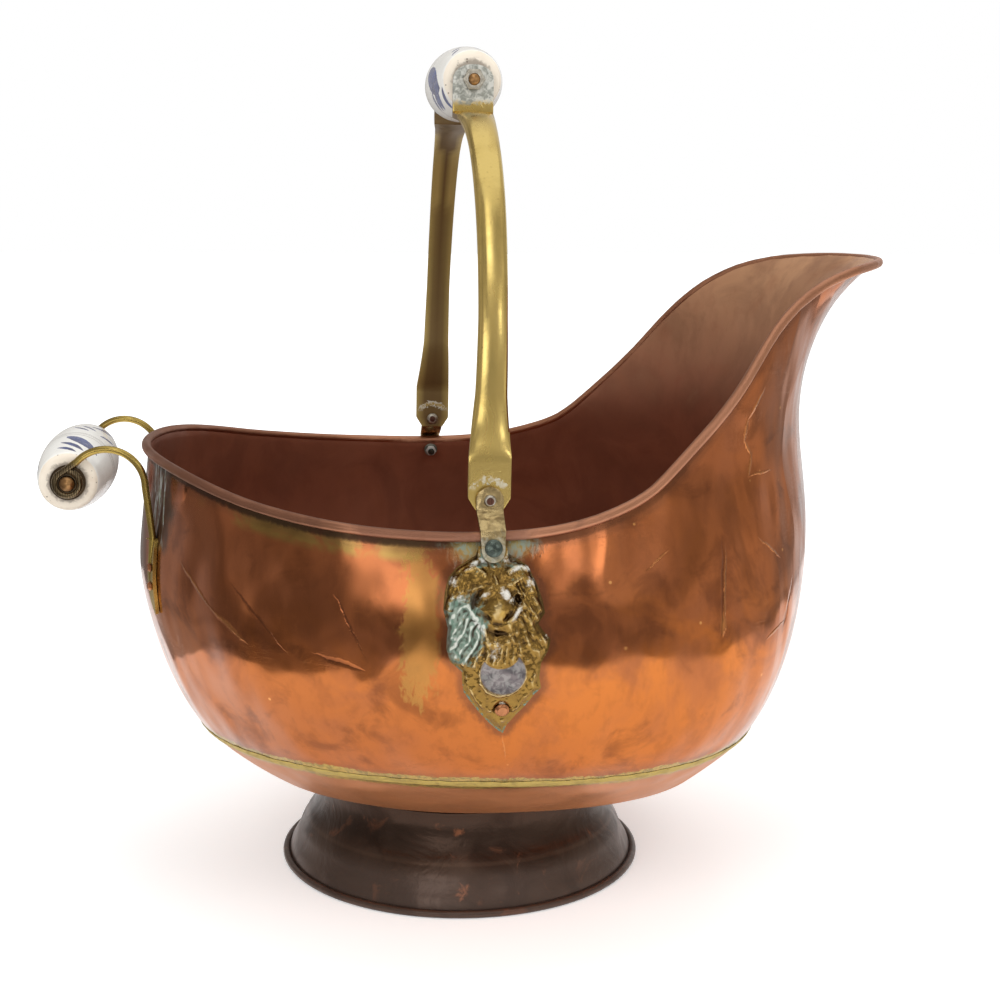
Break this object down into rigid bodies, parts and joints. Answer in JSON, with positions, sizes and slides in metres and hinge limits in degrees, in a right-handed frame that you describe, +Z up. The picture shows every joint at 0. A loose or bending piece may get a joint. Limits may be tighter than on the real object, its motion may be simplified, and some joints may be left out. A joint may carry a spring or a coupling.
{
  "type": "coal scuttle",
  "caption": "Footed copper coal scuttle with a flared pouring lip, a swinging brass bail and porcelain grips above and behind; a lion mask sits under each ear.",
  "frame": {"origin": "centre of the foot, on the floor", "axes": "+X towards the pouring lip, +Y to the left of it, +Z up; the bail turns about +Y"},
  "size_m": [0.4269, 0.319, 0.4166],
  "materials": {
    "copper_wall": "satin",
    "copper_pan": "satin",
    "braze": "rough",
    "wire": "rough",
    "foot_copper": "satin",
    "mask_brass": "aged",
    "rivet_copper": "satin",
    "ear_brass": "aged",
    "screw": "aged",
    "zinc": "rough",
    "arm_brass": "polished",
    "bronze": "satin",
    "dark_brass": "rough",
    "porcelain": "glossy",
    "wire_brass": "satin"
  },
  "bodies": {
    "scuttle": {"side_wall": "copper_wall", "bottom_pan": "copper_pan", "brazed_seam": "braze", "rim_wire": "wire", "foot_ring": "foot_copper", "foot_wire": "wire", "mask_left": "mask_brass", "mask_right": "mask_brass", "mask_rivets": "rivet_copper", "ear_left": "ear_brass", "ear_right": "ear_brass", "ear_screws": "screw", "ear_washers": "zinc", "ear_nuts": "zinc", "pivot_rivets": "rivet_copper", "rear_bracket_left": "wire_brass", "rear_bracket_right": "wire_brass", "rear_rivets": "rivet_copper", "rear_rod": "bronze", "rear_washers": "dark_brass", "rear_cap_nuts": "bronze"},
    "bail": {"arm_left": "arm_brass", "arm_right": "arm_brass", "bail_rod": "bronze", "bail_washers": "dark_brass", "bail_nuts": "bronze"},
    "bail_grip": {"bail_grip": "porcelain"},
    "rear_grip": {"rear_grip": "porcelain"}
  },
  "joints": [
    {"name": "bail_swing", "type": "hinge", "parent": "scuttle", "child": "bail", "pos_m": [-0.0026, 0, 0.21362], "axis": [0, 1, 0], "range_deg": [-78, 60]},
    {"name": "bail_grip_spin", "type": "hinge", "parent": "bail", "child": "bail_grip", "pos_m": [-0.00002, 0, 0.3986], "axis": [0, 1, 0], "continuous": true},
    {"name": "rear_grip_spin", "type": "hinge", "parent": "scuttle", "child": "rear_grip", "pos_m": [-0.1927, 0, 0.21], "axis": [0, 1, 0], "continuous": true}
  ]
}
